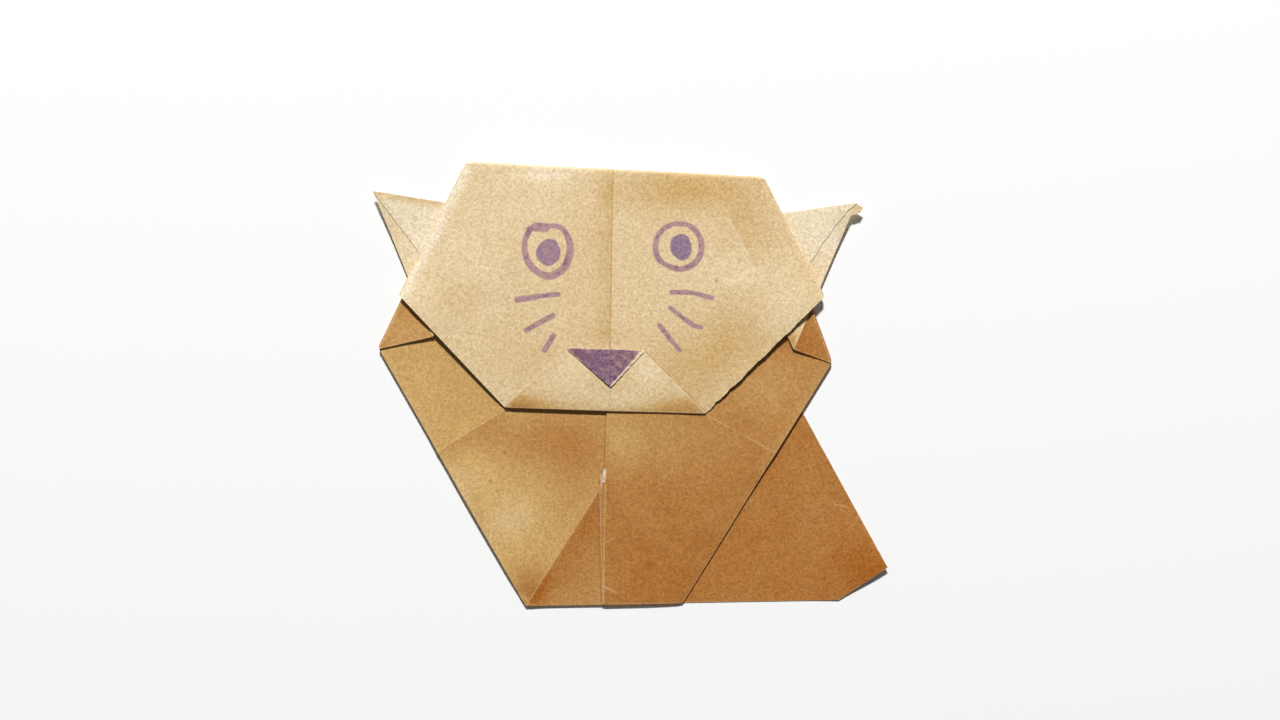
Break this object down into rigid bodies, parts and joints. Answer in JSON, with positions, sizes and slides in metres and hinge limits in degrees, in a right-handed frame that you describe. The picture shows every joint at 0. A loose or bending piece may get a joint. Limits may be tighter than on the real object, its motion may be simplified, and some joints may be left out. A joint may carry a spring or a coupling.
{
  "type": "origami cat",
  "caption": "Sitting cat folded flat from a sheet of brown paper, with crimped ears, a folded muzzle and nose, overlapping chest flaps and a pointed tail, laid face up.",
  "frame": {"origin": "middle of the footprint, on the surface that the cat lies on", "axes": "+Z out of the face, +Y from the feet to the ears, +X towards the side with the tail"},
  "size_m": [0.1614, 0.1398, 0.0034],
  "materials": {
    "kraft_paper": "matte"
  },
  "bodies": {
    "root": {"folded_sheet": "kraft_paper"}
  },
  "joints": []
}
